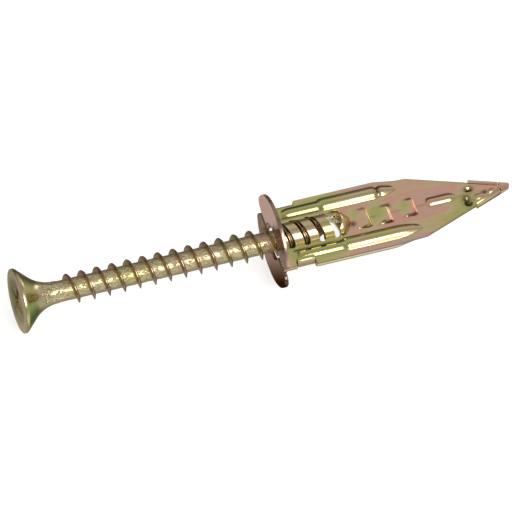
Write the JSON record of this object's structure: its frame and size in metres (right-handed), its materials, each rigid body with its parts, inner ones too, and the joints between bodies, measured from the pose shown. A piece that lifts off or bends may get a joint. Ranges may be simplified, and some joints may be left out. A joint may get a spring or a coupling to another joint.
{
  "type": "metal plasterboard anchor",
  "caption": "Hammer-in sheet steel anchor for plasterboard: a pointed two-leaf blade with a round split collar, and a coarse-thread countersunk screw part-way in.",
  "frame": {"origin": "middle of the collar's board side, on the screw's axis, where the board's face meets the anchor", "axes": "+X along the screw from its head to the blade's tip, +Z square to the leaves, on the side of the upper leaf"},
  "size_m": [0.0647, 0.0116, 0.012],
  "materials": {
    "anchor_sheet": "yellow zinc plating on pressed sheet steel, olive to rose tints",
    "screw_steel": "yellow zinc plating on rolled steel, olive green"
  },
  "bodies": {
    "anchor": {"upper_leaf": "anchor_sheet", "lower_leaf": "anchor_sheet"},
    "screw": {"screw": "screw_steel"}
  },
  "joints": [
    {"name": "screw_travel", "type": "slide", "parent": "anchor", "child": "screw", "axis": [1, 0, 0], "range_m": [-0.01, 0.002]}
  ]
}
